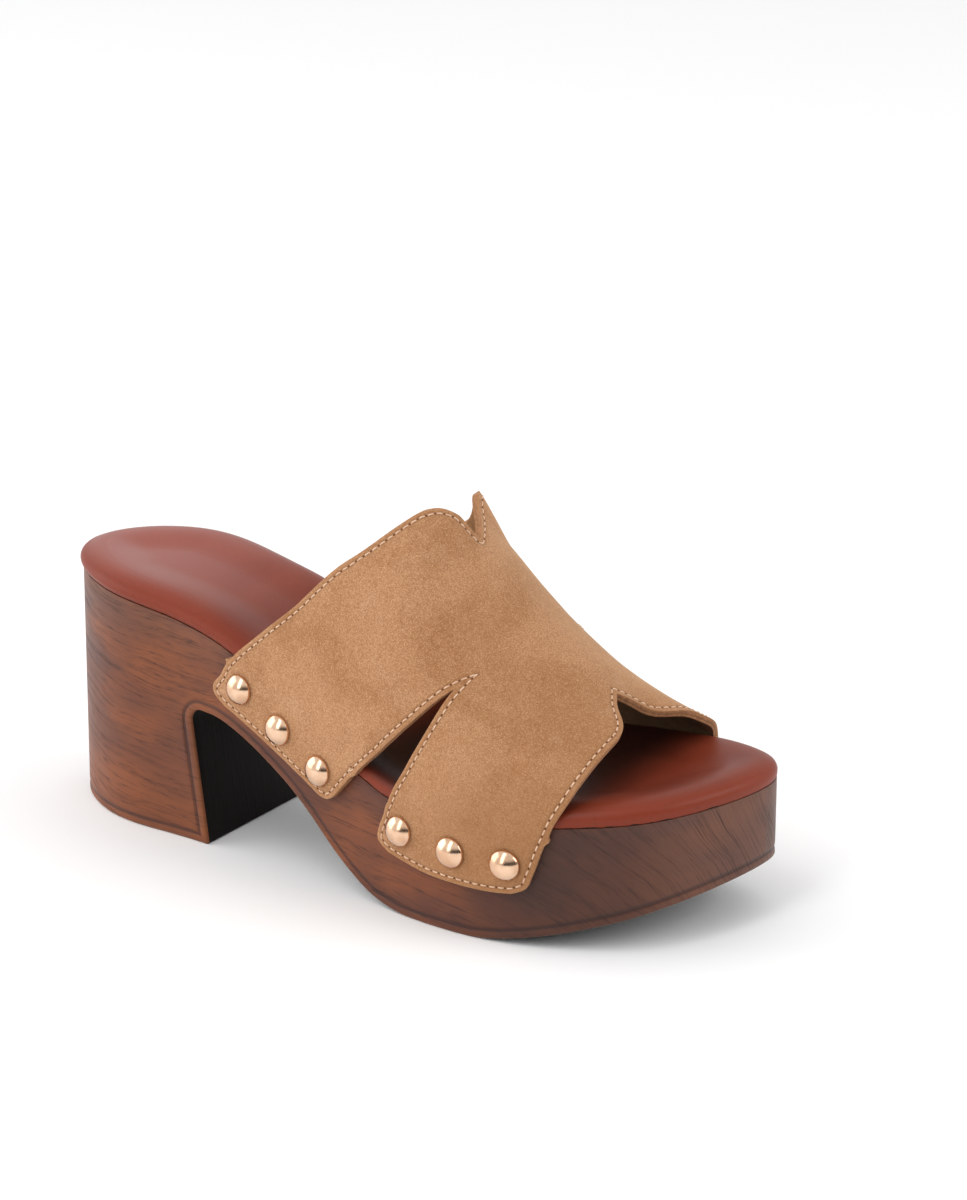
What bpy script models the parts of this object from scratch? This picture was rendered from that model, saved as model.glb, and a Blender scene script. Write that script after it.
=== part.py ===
"""Heeled clog sandal, right shoe: a wood-look platform sole with a block heel,
a padded footbed, and a one-piece suede vamp studded to the sole side.

Metres, +X to the toe, +Y to the wearer's inner side, +Z up. The sizes below are in
millimetres, with x measured from the back of the heel. The tables hold shares of them.
"""
import bpy
import bmesh
import math
import numpy as np
from mathutils import Matrix, Vector

MM = 0.001

# Overall sizes
LENGTH = 248.0          # sole, heel back to toe
BALL_WIDTH = 89.0       # sole, across the ball of the foot
HEEL_HEIGHT = 78.9      # ground to the top of the wood at the heel's back
ARCH_TOP = 45.6         # open height behind the arch
TOE_SPRING = 20.6       # rise of the walking face, carried to just past the toe
BREAST_FOOT = 68.9      # front face of the heel at the ground
BREAST_HEAD = 61.9      # and at the arch
ARCH_FROM = 63.4        # where the run of the arch is measured from
ARCH_CORNER = 4.0
GAP = 0.3               # between neighbouring pieces
OUTSOLE = 2.8           # walking layer under the whole sole
FOOTBED = 6.2           # padded insole at its edge
FOOTBED_ROUND = 3.6     # roll of the insole's upper edge
FOOTBED_DISH = 1.6      # hollow of the insole at its middle
SHEET = 2.4             # suede and its lining together
VAMP_RISE = 84.0        # most that the vamp's crest stands over the wood
HEM_DROP = 20.4         # most that the hem hangs below the top of the wood
NOTCH_DIP = 3.2         # sag of the front edge beside its notch
NOTCH_FLICK = 8.0       # lift of the inner back corner beside its notch
CROWN_LIFT = 4.4        # lift of the outer back corner beside it
STUD_WIDTH = 10.0
STUD_HEIGHT = 3.4
WALL_SHARE = 0.25       # share of the vamp's half girth that lies on the sole side
INNER_LEAN = 0.5        # leans the vamp's inner flank in, flatter than an ellipse

# Sole outline seen from above: x in lengths, half widths in ball widths
OUTLINE = [
    ("x", "outer", "inner"),
    (0.10, 0.315, 0.326), (0.22, 0.362, 0.319), (0.36, 0.404, 0.299),
    (0.50, 0.463, 0.326), (0.64, 0.533, 0.416), (0.76, 0.539, 0.456),
    (0.87, 0.449, 0.434), (0.95, 0.275, 0.360),
]
TOE_TIP = (1.0, 0.197)
HEEL_BACK = (0.0, 0.0)

# Side view: top of the wood, x in lengths and z in heel heights
TOP_LINE = [
    ("x", "z"),
    (-0.020, 1.000), (0.060, 0.996), (0.165, 0.970), (0.238, 0.938), (0.306, 0.887),
    (0.371, 0.801), (0.444, 0.688), (0.540, 0.535), (0.593, 0.477), (0.653, 0.461),
    (0.742, 0.477), (0.831, 0.502), (0.919, 0.532), (1.024, 0.565),
]
# Side view: the walking face from the heel's front (run 0) to the toe (run 1),
# as shares of the arch and of the toe spring
UNDER_LINE = [
    ("run", "arch", "spring"),
    (0.055, 0.985, 0.0), (0.090, 0.941, 0.0), (0.135, 0.860, 0.0), (0.182, 0.754, 0.0),
    (0.228, 0.634, 0.0), (0.274, 0.482, 0.0), (0.320, 0.316, 0.0), (0.366, 0.178, 0.0),
    (0.413, 0.072, 0.0), (0.464, 0.015, 0.0), (0.507, 0.000, 0.0), (0.621, 0.0, 0.000),
    (0.686, 0.0, 0.058), (0.762, 0.0, 0.204), (0.848, 0.0, 0.427), (0.935, 0.0, 0.689),
    (1.033, 0.0, 1.000),
]

# Vamp: its crest over the wood, along the foot, in vamp rises
CREST = [
    ("x", "rise"),
    (0.282, 0.480), (0.363, 0.677), (0.431, 0.859), (0.504, 0.994), (0.573, 0.988),
    (0.617, 0.902), (0.657, 0.787), (0.702, 0.662), (0.758, 0.501), (0.819, 0.365),
    (0.859, 0.294), (0.911, 0.217), (0.968, 0.152),
]
# How far the hem hangs below the top of the wood
HEM_LINE = [
    ("x", "drop"),
    (0.282, 0.84), (0.508, 0.84), (0.589, 0.76), (0.685, 0.91), (0.774, 1.00), (0.847, 1.00),
]
# Edges of the vamp. q runs from -1 at the outer hem over the crest (0) to +1
# at the inner hem; each column is the x of one cut edge, in lengths.
BACK_EDGE = [
    ("q", "x"),
    (-1, 0.323), (-0.985, 0.309), (-0.95, 0.303), (-0.87, 0.316), (-0.75, 0.336), (-0.62, 0.382),
    (-0.5, 0.441), (-0.36, 0.503), (-0.22, 0.550), (-0.13, 0.575), (-0.085, 0.587), (-0.045, 0.601),
    (0, 0.617), (0.06, 0.605), (0.12, 0.590), (0.165, 0.579), (0.21, 0.572), (0.27, 0.559),
    (0.36, 0.521), (0.5, 0.457), (0.62, 0.391), (0.75, 0.339), (0.87, 0.316), (0.95, 0.303),
    (0.985, 0.309), (1, 0.323),
]
FRONT_EDGE = [
    ("q", "x"),
    (-1, 0.786), (-0.985, 0.800), (-0.94, 0.809), (-0.84, 0.821), (-0.75, 0.833), (-0.62, 0.846),
    (-0.48, 0.854), (-0.34, 0.858), (-0.24, 0.859), (-0.175, 0.857), (-0.12, 0.848), (-0.06, 0.829),
    (0, 0.814), (0.06, 0.830), (0.12, 0.844), (0.21, 0.860), (0.3, 0.869), (0.38, 0.874),
    (0.5, 0.872), (0.64, 0.866), (0.75, 0.862), (0.84, 0.853), (0.94, 0.845), (0.985, 0.835),
    (1, 0.821),
]
# The V slits: rows from the hem to the tip
OUTER_SLIT = [
    ("q", "back", "front"),
    (-1, 0.486, 0.607), (-0.985, 0.497, 0.595), (-0.955, 0.507, 0.588),
    (-0.9, 0.518, 0.591), (-0.83, 0.531, 0.598), (-0.75, 0.548, 0.606),
    (-0.66, 0.591, 0.632), (-0.56, 0.633, 0.655), (-0.42, 0.676, 0.678),
]
INNER_SLIT = [
    ("q", "back", "front"),
    (0.33, 0.693, 0.694), (0.46, 0.652, 0.670), (0.6, 0.603, 0.647),
    (0.75, 0.555, 0.619), (0.83, 0.540, 0.608), (0.9, 0.529, 0.601),
    (0.955, 0.519, 0.598), (0.985, 0.510, 0.605), (1, 0.496, 0.617),
]
# Studs: x on the outer side and on the inner side, and their drop in hem drops
STUDS = [
    ("outer", "inner", "drop"),
    (0.350, 0.353, 0.34), (0.417, 0.423, 0.41), (0.486, 0.494, 0.43),
    (0.625, 0.639, 0.34), (0.704, 0.719, 0.45), (0.777, 0.796, 0.54),
]


def column(table, name):
    return np.array([row[table[0].index(name)] for row in table[1:]], float)


def along(table, name, at):
    """A smooth curve through one column of a table, without overshoot."""
    xs, ys = column(table, table[0][0]), column(table, name)
    at = np.clip(np.asarray(at, float), xs[0], xs[-1])
    step = np.diff(xs)
    rise = np.diff(ys) / step
    tangent = np.r_[rise[0], (rise[1:] + rise[:-1]) / 2, rise[-1]]
    turning = rise[1:] * rise[:-1] <= 0
    tangent[1:-1][turning] = 0
    for k in range(len(rise)):
        limit = 3 * abs(rise[k])
        tangent[k] = np.clip(tangent[k], -limit, limit)
        tangent[k + 1] = np.clip(tangent[k + 1], -limit, limit)
    k = np.clip(np.searchsorted(xs, at, side="right") - 1, 0, len(step) - 1)
    t = (at - xs[k]) / step[k]
    keep, swap = 2 * t**3 - 3 * t**2 + 1, 3 * t**2 - 2 * t**3
    start, end = t**3 - 2 * t**2 + t, t**3 - t**2
    return keep * ys[k] + swap * ys[k + 1] + step[k] * (start * tangent[k] + end * tangent[k + 1])


def wood_top(x):
    """Height of the top of the wood at x."""
    return HEEL_HEIGHT * along(TOP_LINE, "z", np.asarray(x) / LENGTH)


def under_line(x):
    """Height of the walking face in front of the heel at x."""
    run = (np.asarray(x, float) - ARCH_FROM) / (LENGTH - ARCH_FROM)
    return ARCH_TOP * along(UNDER_LINE, "arch", run) + TOE_SPRING * along(UNDER_LINE, "spring", run)


def edge_x(table, name, q):
    """The x of a cut edge of the vamp at the girth station q."""
    return LENGTH * float(along(table, name, q))


def closed_curve(points, count):
    """A smooth closed curve through the points, spaced evenly along itself."""
    pts = np.array(points, float)
    chord = np.sqrt(np.linalg.norm(np.roll(pts, -1, 0) - pts, axis=1))
    size = len(pts)
    system, right = np.zeros((size, size)), np.zeros((size, 2))
    for k in range(size):
        before, after = chord[k - 1], chord[k]
        system[k, k - 1] += after
        system[k, k] += 2 * (before + after)
        system[k, (k + 1) % size] += before
        ahead = (pts[(k + 1) % size] - pts[k]) / after
        behind = (pts[k] - pts[k - 1]) / before
        right[k] = 3 * (after * behind + before * ahead)
    slope = np.linalg.solve(system, right)
    dense = []
    for k in range(size):
        t = np.linspace(0, 1, 60, endpoint=False)[:, None]
        a, b = pts[k], pts[(k + 1) % size]
        ma, mb = slope[k] * chord[k], slope[(k + 1) % size] * chord[k]
        dense.append((2*t**3 - 3*t**2 + 1) * a + (t**3 - 2*t**2 + t) * ma
                     + (3*t**2 - 2*t**3) * b + (t**3 - t**2) * mb)
    dense = np.vstack(dense + [pts[:1]])
    walked = np.r_[0, np.cumsum(np.linalg.norm(np.diff(dense, axis=0), axis=1))]
    at = np.linspace(0, walked[-1], count, endpoint=False)
    return np.stack([np.interp(at, walked, dense[:, 0]), np.interp(at, walked, dense[:, 1])], 1)


def sole_outline(count=600):
    """The sole's edge from the heel round the outer side, the toe and the inner side."""
    outer = [(row[0], -row[1]) for row in OUTLINE[1:]]
    inner = [(row[0], row[2]) for row in OUTLINE[:0:-1]]
    corners = [HEEL_BACK] + outer + [TOE_TIP] + inner
    return closed_curve([(x * LENGTH, y * BALL_WIDTH) for x, y in corners], count)


EDGE = sole_outline()


def outset(ring, by):
    """The ring moved outwards by a distance, inwards if negative."""
    ahead, behind = np.roll(ring, -1, 0), np.roll(ring, 1, 0)
    run = ahead - behind
    run /= np.linalg.norm(run, axis=1)[:, None]
    return ring + by * np.stack([run[:, 1], -run[:, 0]], 1)


def side_at(x, side):
    """Distance of the sole's edge from the foot's line, outer (-1) or inner (+1)."""
    middle = np.argmax(EDGE[:, 0])
    half = EDGE[:middle + 1] if side < 0 else np.vstack([EDGE[:1], EDGE[:middle - 1:-1]])
    order = np.argsort(half[:, 0])
    return np.interp(x, half[order, 0], half[order, 1])


SIDE_SHIFT = -(EDGE[:, 1].min() + EDGE[:, 1].max()) / 2


def place(x, y, z):
    """Millimetres from the heel's back to the shoe's own frame in metres, centred."""
    return ((x - LENGTH / 2) * MM, (y + SIDE_SHIFT) * MM, z * MM)


def material(name, colour, roughness, metallic=0.0):
    made = bpy.data.materials.new(name)
    made.use_nodes = True
    shader = made.node_tree.nodes["Principled BSDF"]
    shader.inputs["Base Color"].default_value = (*colour, 1.0)
    shader.inputs["Roughness"].default_value = roughness
    shader.inputs["Metallic"].default_value = metallic
    return made


def new_object(name, verts, faces, group, look=None):
    mesh = bpy.data.meshes.new(name)
    mesh.from_pydata([place(*v) for v in verts], [], faces)
    mesh.update()
    shell = bmesh.new()
    shell.from_mesh(mesh)
    bmesh.ops.recalc_face_normals(shell, faces=shell.faces)
    shell.to_mesh(mesh)
    shell.free()
    made = bpy.data.objects.new(name, mesh)
    group.objects.link(made)
    if look:
        mesh.materials.append(look)
    return made


def prism_up(name, ring, low, high, group, look=None):
    """A flat outline raised between two heights."""
    n = len(ring)
    verts = [(x, y, low) for x, y in ring] + [(x, y, high) for x, y in ring]
    faces = [(k, (k + 1) % n, n + (k + 1) % n, n + k) for k in range(n)]
    faces += [tuple(range(n))[::-1], tuple(range(n, 2 * n))]
    return new_object(name, verts, faces, group, look)


def prism_across(name, profile, reach, group):
    """A side-view profile carried across the shoe, to cut with."""
    n = len(profile)
    verts = [(x, -reach, z) for x, z in profile] + [(x, reach, z) for x, z in profile]
    faces = [(k, (k + 1) % n, n + (k + 1) % n, n + k) for k in range(n)]
    faces += [tuple(range(n))[::-1], tuple(range(n, 2 * n))]
    made = new_object(name, verts, faces, group)
    made.hide_render = True
    made.display_type = "WIRE"
    return made


def cut(target, cutter, operation):
    step = target.modifiers.new(cutter.name, "BOOLEAN")
    step.operation = operation
    step.object = cutter
    step.solver = "EXACT"


def under_profile(lift):
    """The sole's lower edge from heel to toe, raised square to itself by lift."""
    lean = BREAST_FOOT - BREAST_HEAD
    points = [(-OUTSOLE, 0.0), (BREAST_FOOT - 1.0, 0.0), (BREAST_FOOT, 0.6)]
    points += [(BREAST_FOOT - lean * t, ARCH_TOP * t) for t in (0.3, 0.6, 0.86)]
    turn = [(0.25, 0.95), (0.55, 0.99), (1.0, 1.0)]
    points += [(BREAST_HEAD + ARCH_CORNER * a, ARCH_TOP * b) for a, b in turn]
    flat = ARCH_FROM + 0.465 * (LENGTH - ARCH_FROM)
    start = ARCH_FROM + UNDER_LINE[1][0] * (LENGTH - ARCH_FROM)
    xs = np.r_[np.linspace(start, flat, 18), np.linspace(flat, LENGTH + 2 * OUTSOLE, 20)[1:]]
    points += [(x, float(under_line(x))) for x in xs]
    line = np.array(points)
    if lift == 0:
        return line
    run = np.gradient(line, axis=0)
    run /= np.linalg.norm(run, axis=1)[:, None]
    raised = line + lift * np.stack([-run[:, 1], run[:, 0]], 1)
    raised[:2, 1] = lift
    raised[1, 0] = BREAST_FOOT - lift - 0.4
    raised[2] = (BREAST_FOOT - lift - 0.2, lift + 0.2)
    return raised


def top_profile():
    xs = np.linspace(-2 * OUTSOLE, LENGTH + 2 * OUTSOLE, 53)
    return np.stack([xs, wood_top(xs)], 1)


def make_sole(group, cutters, wood, rubber):
    wall = EDGE[::5]
    above, beside = HEEL_HEIGHT + FOOTBED, BALL_WIDTH
    body = prism_up("sole_unit", wall, OUTSOLE / 2, above, group, wood)
    lower = under_profile(OUTSOLE + GAP)
    upper = top_profile()
    side_view = np.vstack([lower, upper[::-1]])
    cut(body, prism_across("sole_side_view", side_view, beside, cutters), "INTERSECT")
    tread = prism_up("outsole", wall, -OUTSOLE, ARCH_TOP + 2 * OUTSOLE, group, rubber)
    ground, ceiling = under_profile(0.0), under_profile(OUTSOLE)
    side_view = np.vstack([ground, ceiling[::-1]])
    cut(tread, prism_across("outsole_side_view", side_view, beside, cutters), "INTERSECT")


def make_footbed(group, look):
    """Rings laid from the glued underside round the rolled edge to the dished top."""
    ring = EDGE[::6]
    n = len(ring)
    toward = np.stack([np.clip(ring[:, 0], 0.12 * LENGTH, 0.86 * LENGTH), np.zeros(n)], 1)
    toward[:, 1] = [(side_at(x, -1) + side_at(x, 1)) / 2 for x in toward[:, 0]]
    roll = FOOTBED_ROUND
    rows = [(0.5, 0.0), (0.0, 0.5), (0.0, FOOTBED - roll)]
    rows += [(roll * (1 - math.cos(a)), FOOTBED - roll * (1 - math.sin(a)))
             for a in np.radians([25, 50, 75])]
    rings = []
    for inset, height in rows:
        edge = outset(ring, -inset)
        rings.append([(x, y, float(wood_top(x)) + GAP + height) for x, y in edge])
    for share in (0.24, 0.42, 0.62, 0.84):
        edge = outset(ring, -roll) * (1 - share) + toward * share
        dip = FOOTBED_DISH * math.sin(share * math.pi / 2) ** 2
        rings.append([(x, y, float(wood_top(x)) + GAP + FOOTBED - dip) for x, y in edge])
    low = []
    for share in (0.3, 0.84):
        edge = outset(ring, -0.5) * (1 - share) + toward * share
        low.append([(x, y, float(wood_top(x)) + GAP) for x, y in edge])
    stack = low[::-1] + rings
    verts = [v for r in stack for v in r]
    faces = []
    for k in range(len(stack) - 1):
        for j in range(n):
            i = (j + 1) % n
            faces.append((k * n + j, k * n + i, (k + 1) * n + i, (k + 1) * n + j))
    top = (len(stack) - 1) * n
    faces += close_strip(0, n) + close_strip(top, n)
    made = new_object("footbed", verts, faces, group, look)
    return made


def close_strip(first, n):
    """Fills the narrow middle of a ring by joining its outer side to its inner side."""
    half = n // 2
    faces = [(first, first + 1, first + n - 1)]
    faces += [(first + k, first + k + 1, first + n - k - 1, first + n - k) for k in range(1, half - 1)]
    return faces + [(first + half - 1, first + half, first + half + 1)]


def fade(t):
    return min(max(t, 0.0), 1.0)


def vamp_point(x, q, out=0.0):
    """A point of the vamp's inner face, or further out, from its x and girth share q."""
    reach = GAP + 0.1 + out
    outer, inner = side_at(x, -1) - reach, side_at(x, 1) + reach
    base = float(wood_top(x)) + 1.0
    crest = base - 1.0 + VAMP_RISE * float(along(CREST, "rise", x / LENGTH)) - SHEET + out
    share = 1 - WALL_SHARE
    if abs(q) > share:
        hang = HEM_DROP * float(along(HEM_LINE, "drop", x / LENGTH))
        drop = (abs(q) - share) / WALL_SHARE * (hang + 1.0)
        return (x, inner if q > 0 else outer, base - drop)
    turn = q / share * math.pi / 2
    middle, half = (outer + inner) / 2, (inner - outer) / 2
    station = x / LENGTH
    dip = NOTCH_DIP * math.exp(-((q - 0.11) / 0.10) ** 2) * fade((station - 0.782) / 0.056)
    flick = NOTCH_FLICK * math.exp(-((q - 0.20) / 0.07) ** 2) * fade((0.609 - station) / 0.04)
    flick += CROWN_LIFT * math.exp(-((q + 0.10) / 0.155) ** 2) * fade((0.62 - station) / 0.02)
    rise = math.cos(turn)
    if q > 0:
        lean = INNER_LEAN * fade((station - 0.597) / 0.097)
        rise -= lean * rise**2 * (1 - rise)
    height = base + (crest - base) * rise - dip + flick
    return (x, middle + half * math.sin(turn), height)


def girth_rows():
    """Girth stations, closer at the hems, the slit tips and the notches."""
    outer_tip, inner_tip = OUTER_SLIT[-1][0], INNER_SLIT[1][0]
    left = [-1.0, -0.985, -0.955, -0.90, -0.83, -0.75, -0.70, -0.65, -0.60, -0.545, -0.49, outer_tip,
            -0.37, -0.32, -0.27, -0.22, -0.175, -0.13, -0.085, -0.045]
    right = [0.0, 0.04, 0.08, 0.12, 0.165, 0.21, 0.27, inner_tip, 0.39, 0.46, 0.53, 0.60, 0.65,
             0.70, 0.75, 0.83, 0.90, 0.955, 0.985, 1.0]
    return left + right


def make_upper(group, look):
    """One open sheet with its slits and notches, thickened to the suede and lining."""
    back_cols, front_cols = 9, 9
    outer_tip, inner_tip = OUTER_SLIT[-1][0], INNER_SLIT[1][0]
    verts, index = [], {}
    rows = girth_rows()
    for r, q in enumerate(rows):
        start, end = edge_x(BACK_EDGE, "x", q), edge_x(FRONT_EDGE, "x", q)
        slit = q <= outer_tip or q >= inner_tip
        if q <= outer_tip:
            near, far = edge_x(OUTER_SLIT, "back", q), edge_x(OUTER_SLIT, "front", q)
        elif q >= inner_tip:
            near, far = edge_x(INNER_SLIT, "back", q), edge_x(INNER_SLIT, "front", q)
        else:
            share = (q - outer_tip) / (inner_tip - outer_tip)
            outer, inner = OUTER_SLIT[-1][1], INNER_SLIT[1][1]
            near = far = (outer + (inner - outer) * share) * LENGTH
        tip = q in (outer_tip, inner_tip)
        if tip:
            near = far = (near + far) / 2
        for c in range(back_cols + 1):
            index[r, "b", c] = len(verts)
            verts.append(vamp_point(start + (near - start) * c / back_cols, q))
        for c in range(front_cols + 1):
            if c == 0 and (tip or not slit):
                index[r, "f", 0] = index[r, "b", back_cols]
                continue
            index[r, "f", c] = len(verts)
            verts.append(vamp_point(far + (end - far) * c / front_cols, q))
    faces = []
    for r in range(len(rows) - 1):
        for block, cols in (("b", back_cols), ("f", front_cols)):
            for c in range(cols):
                faces.append((index[r, block, c], index[r + 1, block, c],
                              index[r + 1, block, c + 1], index[r, block, c + 1]))
    mesh = bpy.data.meshes.new("upper")
    mesh.from_pydata([place(*v) for v in verts], [], faces)
    mesh.materials.append(look)
    made = bpy.data.objects.new("upper", mesh)
    group.objects.link(made)
    shell = made.modifiers.new("thickness", "SOLIDIFY")
    shell.thickness = SHEET * MM
    shell.offset = 1.0
    shell.use_even_offset = True
    shell.use_quality_normals = True
    middle = mesh.polygons[len(faces) // 2]
    if middle.normal.z < 0:
        mesh.flip_normals()
    return made


def dome_mesh():
    """A shallow round stud head: the cap of a ball on a short straight rim."""
    rim = 0.7
    cap = STUD_HEIGHT - rim
    ball = (STUD_WIDTH**2 / 4 + cap**2) / (2 * cap)
    shell = bmesh.new()
    around, up = 20, 5
    rings = [(STUD_WIDTH / 2, 0.0), (STUD_WIDTH / 2, rim)]
    limit = math.asin(STUD_WIDTH / 2 / ball)
    for k in range(1, up):
        angle = limit * (1 - k / up)
        rings.append((ball * math.sin(angle), rim + cap - ball * (1 - math.cos(angle))))
    loops = []
    for radius, height in rings:
        loops.append([shell.verts.new((radius * MM * math.cos(2 * math.pi * k / around),
                                       radius * MM * math.sin(2 * math.pi * k / around),
                                       height * MM)) for k in range(around)])
    crown = shell.verts.new((0, 0, STUD_HEIGHT * MM))
    shell.faces.new(loops[0][::-1])
    for low, high in zip(loops, loops[1:]):
        for k in range(around):
            shell.faces.new((low[k], low[(k + 1) % around], high[(k + 1) % around], high[k]))
    for k in range(around):
        shell.faces.new((loops[-1][k], loops[-1][(k + 1) % around], crown))
    mesh = bpy.data.meshes.new("stud_head")
    shell.to_mesh(mesh)
    shell.free()
    mesh.shade_smooth()
    mesh.set_sharp_from_angle(angle=math.radians(40))
    return mesh


def make_studs(group, look):
    mesh = dome_mesh()
    mesh.materials.append(look)
    for side, word in ((-1, "outer"), (1, "inner")):
        for number, (outer, inner, drop) in enumerate(STUDS[1:], 1):
            x = LENGTH * (outer if side < 0 else inner)
            away = GAP + 0.1 + SHEET + GAP
            y = float(side_at(x, side))
            slope = float(side_at(x + 1, side) - side_at(x - 1, side)) / 2
            face = Vector((-slope * side, side, 0)).normalized()
            spot = Vector((x, y, float(wood_top(x)) - drop * HEM_DROP)) + face * away
            made = bpy.data.objects.new(f"stud_{word}_{number}", mesh)
            turn = face.to_track_quat("Z", "Y").to_matrix().to_4x4()
            made.matrix_world = Matrix.Translation(place(*spot)) @ turn
            group.objects.link(made)


def clear_scene():
    for old in list(bpy.data.objects):
        bpy.data.objects.remove(old, do_unlink=True)


def main():
    clear_scene()
    shoe = bpy.data.collections.new("heeled_clog")
    cutters = bpy.data.collections.new("cutters")
    bpy.context.scene.collection.children.link(shoe)
    bpy.context.scene.collection.children.link(cutters)
    wood = material("wood_look", (0.13, 0.052, 0.032), 0.5)
    rubber = material("outsole_rubber", (0.10, 0.042, 0.028), 0.6)
    leather = material("insole_leather", (0.30, 0.085, 0.045), 0.4)
    suede = material("tan_suede", (0.52, 0.31, 0.15), 0.95)
    metal = material("rose_metal", (0.90, 0.66, 0.52), 0.2, 1.0)
    make_sole(shoe, cutters, wood, rubber)
    make_footbed(shoe, leather)
    make_upper(shoe, suede)
    make_studs(shoe, metal)


main()
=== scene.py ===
import math

import bmesh
import bpy
import numpy as np
from mathutils import Matrix, Vector


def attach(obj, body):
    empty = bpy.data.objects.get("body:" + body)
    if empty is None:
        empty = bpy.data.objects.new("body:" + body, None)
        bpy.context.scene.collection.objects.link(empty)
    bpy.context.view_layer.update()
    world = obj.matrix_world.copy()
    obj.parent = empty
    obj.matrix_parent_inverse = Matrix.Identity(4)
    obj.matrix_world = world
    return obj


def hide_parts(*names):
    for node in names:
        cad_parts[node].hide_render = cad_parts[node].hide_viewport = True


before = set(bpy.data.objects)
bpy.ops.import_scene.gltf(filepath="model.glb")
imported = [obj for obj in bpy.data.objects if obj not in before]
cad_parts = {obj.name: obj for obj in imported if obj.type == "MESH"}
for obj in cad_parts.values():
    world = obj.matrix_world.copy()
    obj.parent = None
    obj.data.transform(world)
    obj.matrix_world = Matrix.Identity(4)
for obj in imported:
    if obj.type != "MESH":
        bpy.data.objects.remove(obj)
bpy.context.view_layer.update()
print("frame loaded")

# Sizes are in millimetres with x from the back of the heel, y to the inner side and z up.
# Tables hold shares of the sizes, as the construction does.
shoe = {
    "length": 248.0, "ballWidth": 89.0, "heelHeight": 78.9, "archTop": 45.6, "toeSpring": 20.6,
    "breastFoot": 68.9, "breastHead": 61.9, "archFrom": 63.4, "archCorner": 4.0, "gap": 0.3,
    "outsole": 2.8, "sheet": 2.4,
}
outlineTable = [
    ("x", "outer", "inner"),
    (0.10, 0.315, 0.326), (0.22, 0.362, 0.319), (0.36, 0.404, 0.299), (0.50, 0.463, 0.326),
    (0.64, 0.533, 0.416), (0.76, 0.539, 0.456), (0.87, 0.449, 0.434), (0.95, 0.275, 0.360),
]
topTable = [
    ("x", "z"),
    (-0.020, 1.000), (0.060, 0.996), (0.165, 0.970), (0.238, 0.938), (0.306, 0.887),
    (0.371, 0.801), (0.444, 0.688), (0.540, 0.535), (0.593, 0.477), (0.653, 0.461),
    (0.742, 0.477), (0.831, 0.502), (0.919, 0.532), (1.024, 0.565),
]
underTable = [
    ("run", "arch", "spring"),
    (0.017, 1.0, 0.0), (0.055, 0.985, 0.0), (0.090, 0.941, 0.0), (0.135, 0.860, 0.0),
    (0.182, 0.754, 0.0), (0.228, 0.634, 0.0), (0.274, 0.482, 0.0), (0.320, 0.316, 0.0),
    (0.366, 0.178, 0.0), (0.413, 0.072, 0.0), (0.464, 0.015, 0.0), (0.507, 0.000, 0.0),
    (0.621, 0.0, 0.000), (0.686, 0.0, 0.058), (0.762, 0.0, 0.204), (0.848, 0.0, 0.427),
    (0.935, 0.0, 0.689), (1.033, 0.0, 1.000),
]


def column(table, name):
    return np.array([row[table[0].index(name)] for row in table[1:]], float)


# Cubic pieces through the table's points, each slope the mean of its two neighbours
# and never over three times either, so the curve doesn't overshoot.
def along(table, name, at):
    xs, ys = column(table, table[0][0]), column(table, name)
    at = np.clip(np.asarray(at, float), xs[0], xs[-1])
    step = np.diff(xs)
    rise = np.diff(ys) / step
    slope = np.r_[rise[0], (rise[1:] + rise[:-1]) / 2, rise[-1]]
    slope[1:-1][rise[1:] * rise[:-1] <= 0] = 0
    for k in range(len(rise)):
        limit = 3 * abs(rise[k])
        slope[k:k + 2] = np.clip(slope[k:k + 2], -limit, limit)
    k = np.clip(np.searchsorted(xs, at, side="right") - 1, 0, len(step) - 1)
    t = (at - xs[k]) / step[k]
    here, there = 2 * t**3 - 3 * t**2 + 1, 3 * t**2 - 2 * t**3
    return here * ys[k] + there * ys[k + 1] + step[k] * (
        (t**3 - 2 * t**2 + t) * slope[k] + (t**3 - t**2) * slope[k + 1])


# The sole's edge seen from above: a closed cubic curve whose steps are the square roots
# of the chords, spaced evenly along itself. Also its length.
def closedCurve(points, count):
    points = np.array(points, float)
    chord = np.sqrt(np.linalg.norm(np.roll(points, -1, 0) - points, axis=1))
    size = len(points)
    before, after = np.roll(chord, 1)[:, None], chord[:, None]
    ahead = (np.roll(points, -1, 0) - points) / after
    behind = (points - np.roll(points, 1, 0)) / before
    here = np.arange(size)
    system = np.zeros((size, size))
    system[here, here - 1] += after[:, 0]
    system[here, here] += 2 * (before + after)[:, 0]
    system[here, (here + 1) % size] += before[:, 0]
    slope = np.linalg.solve(system, 3 * (after * behind + before * ahead))
    t = np.linspace(0, 1, 240, endpoint=False)[None, :, None]
    start, end = points[:, None], np.roll(points, -1, 0)[:, None]
    leave, arrive = (slope * after)[:, None], (np.roll(slope, -1, 0) * after)[:, None]
    dense = ((2 * t**3 - 3 * t**2 + 1) * start + (t**3 - 2 * t**2 + t) * leave
             + (3 * t**2 - 2 * t**3) * end + (t**3 - t**2) * arrive).reshape(-1, 2)
    dense = np.vstack([dense, dense[:1]])
    walked = np.r_[0, np.cumsum(np.linalg.norm(np.diff(dense, axis=0), axis=1))]
    at = np.linspace(0, walked[-1], count, endpoint=False)
    spots = np.stack([np.interp(at, walked, dense[:, k]) for k in (0, 1)], 1)
    return spots, walked[-1]


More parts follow.
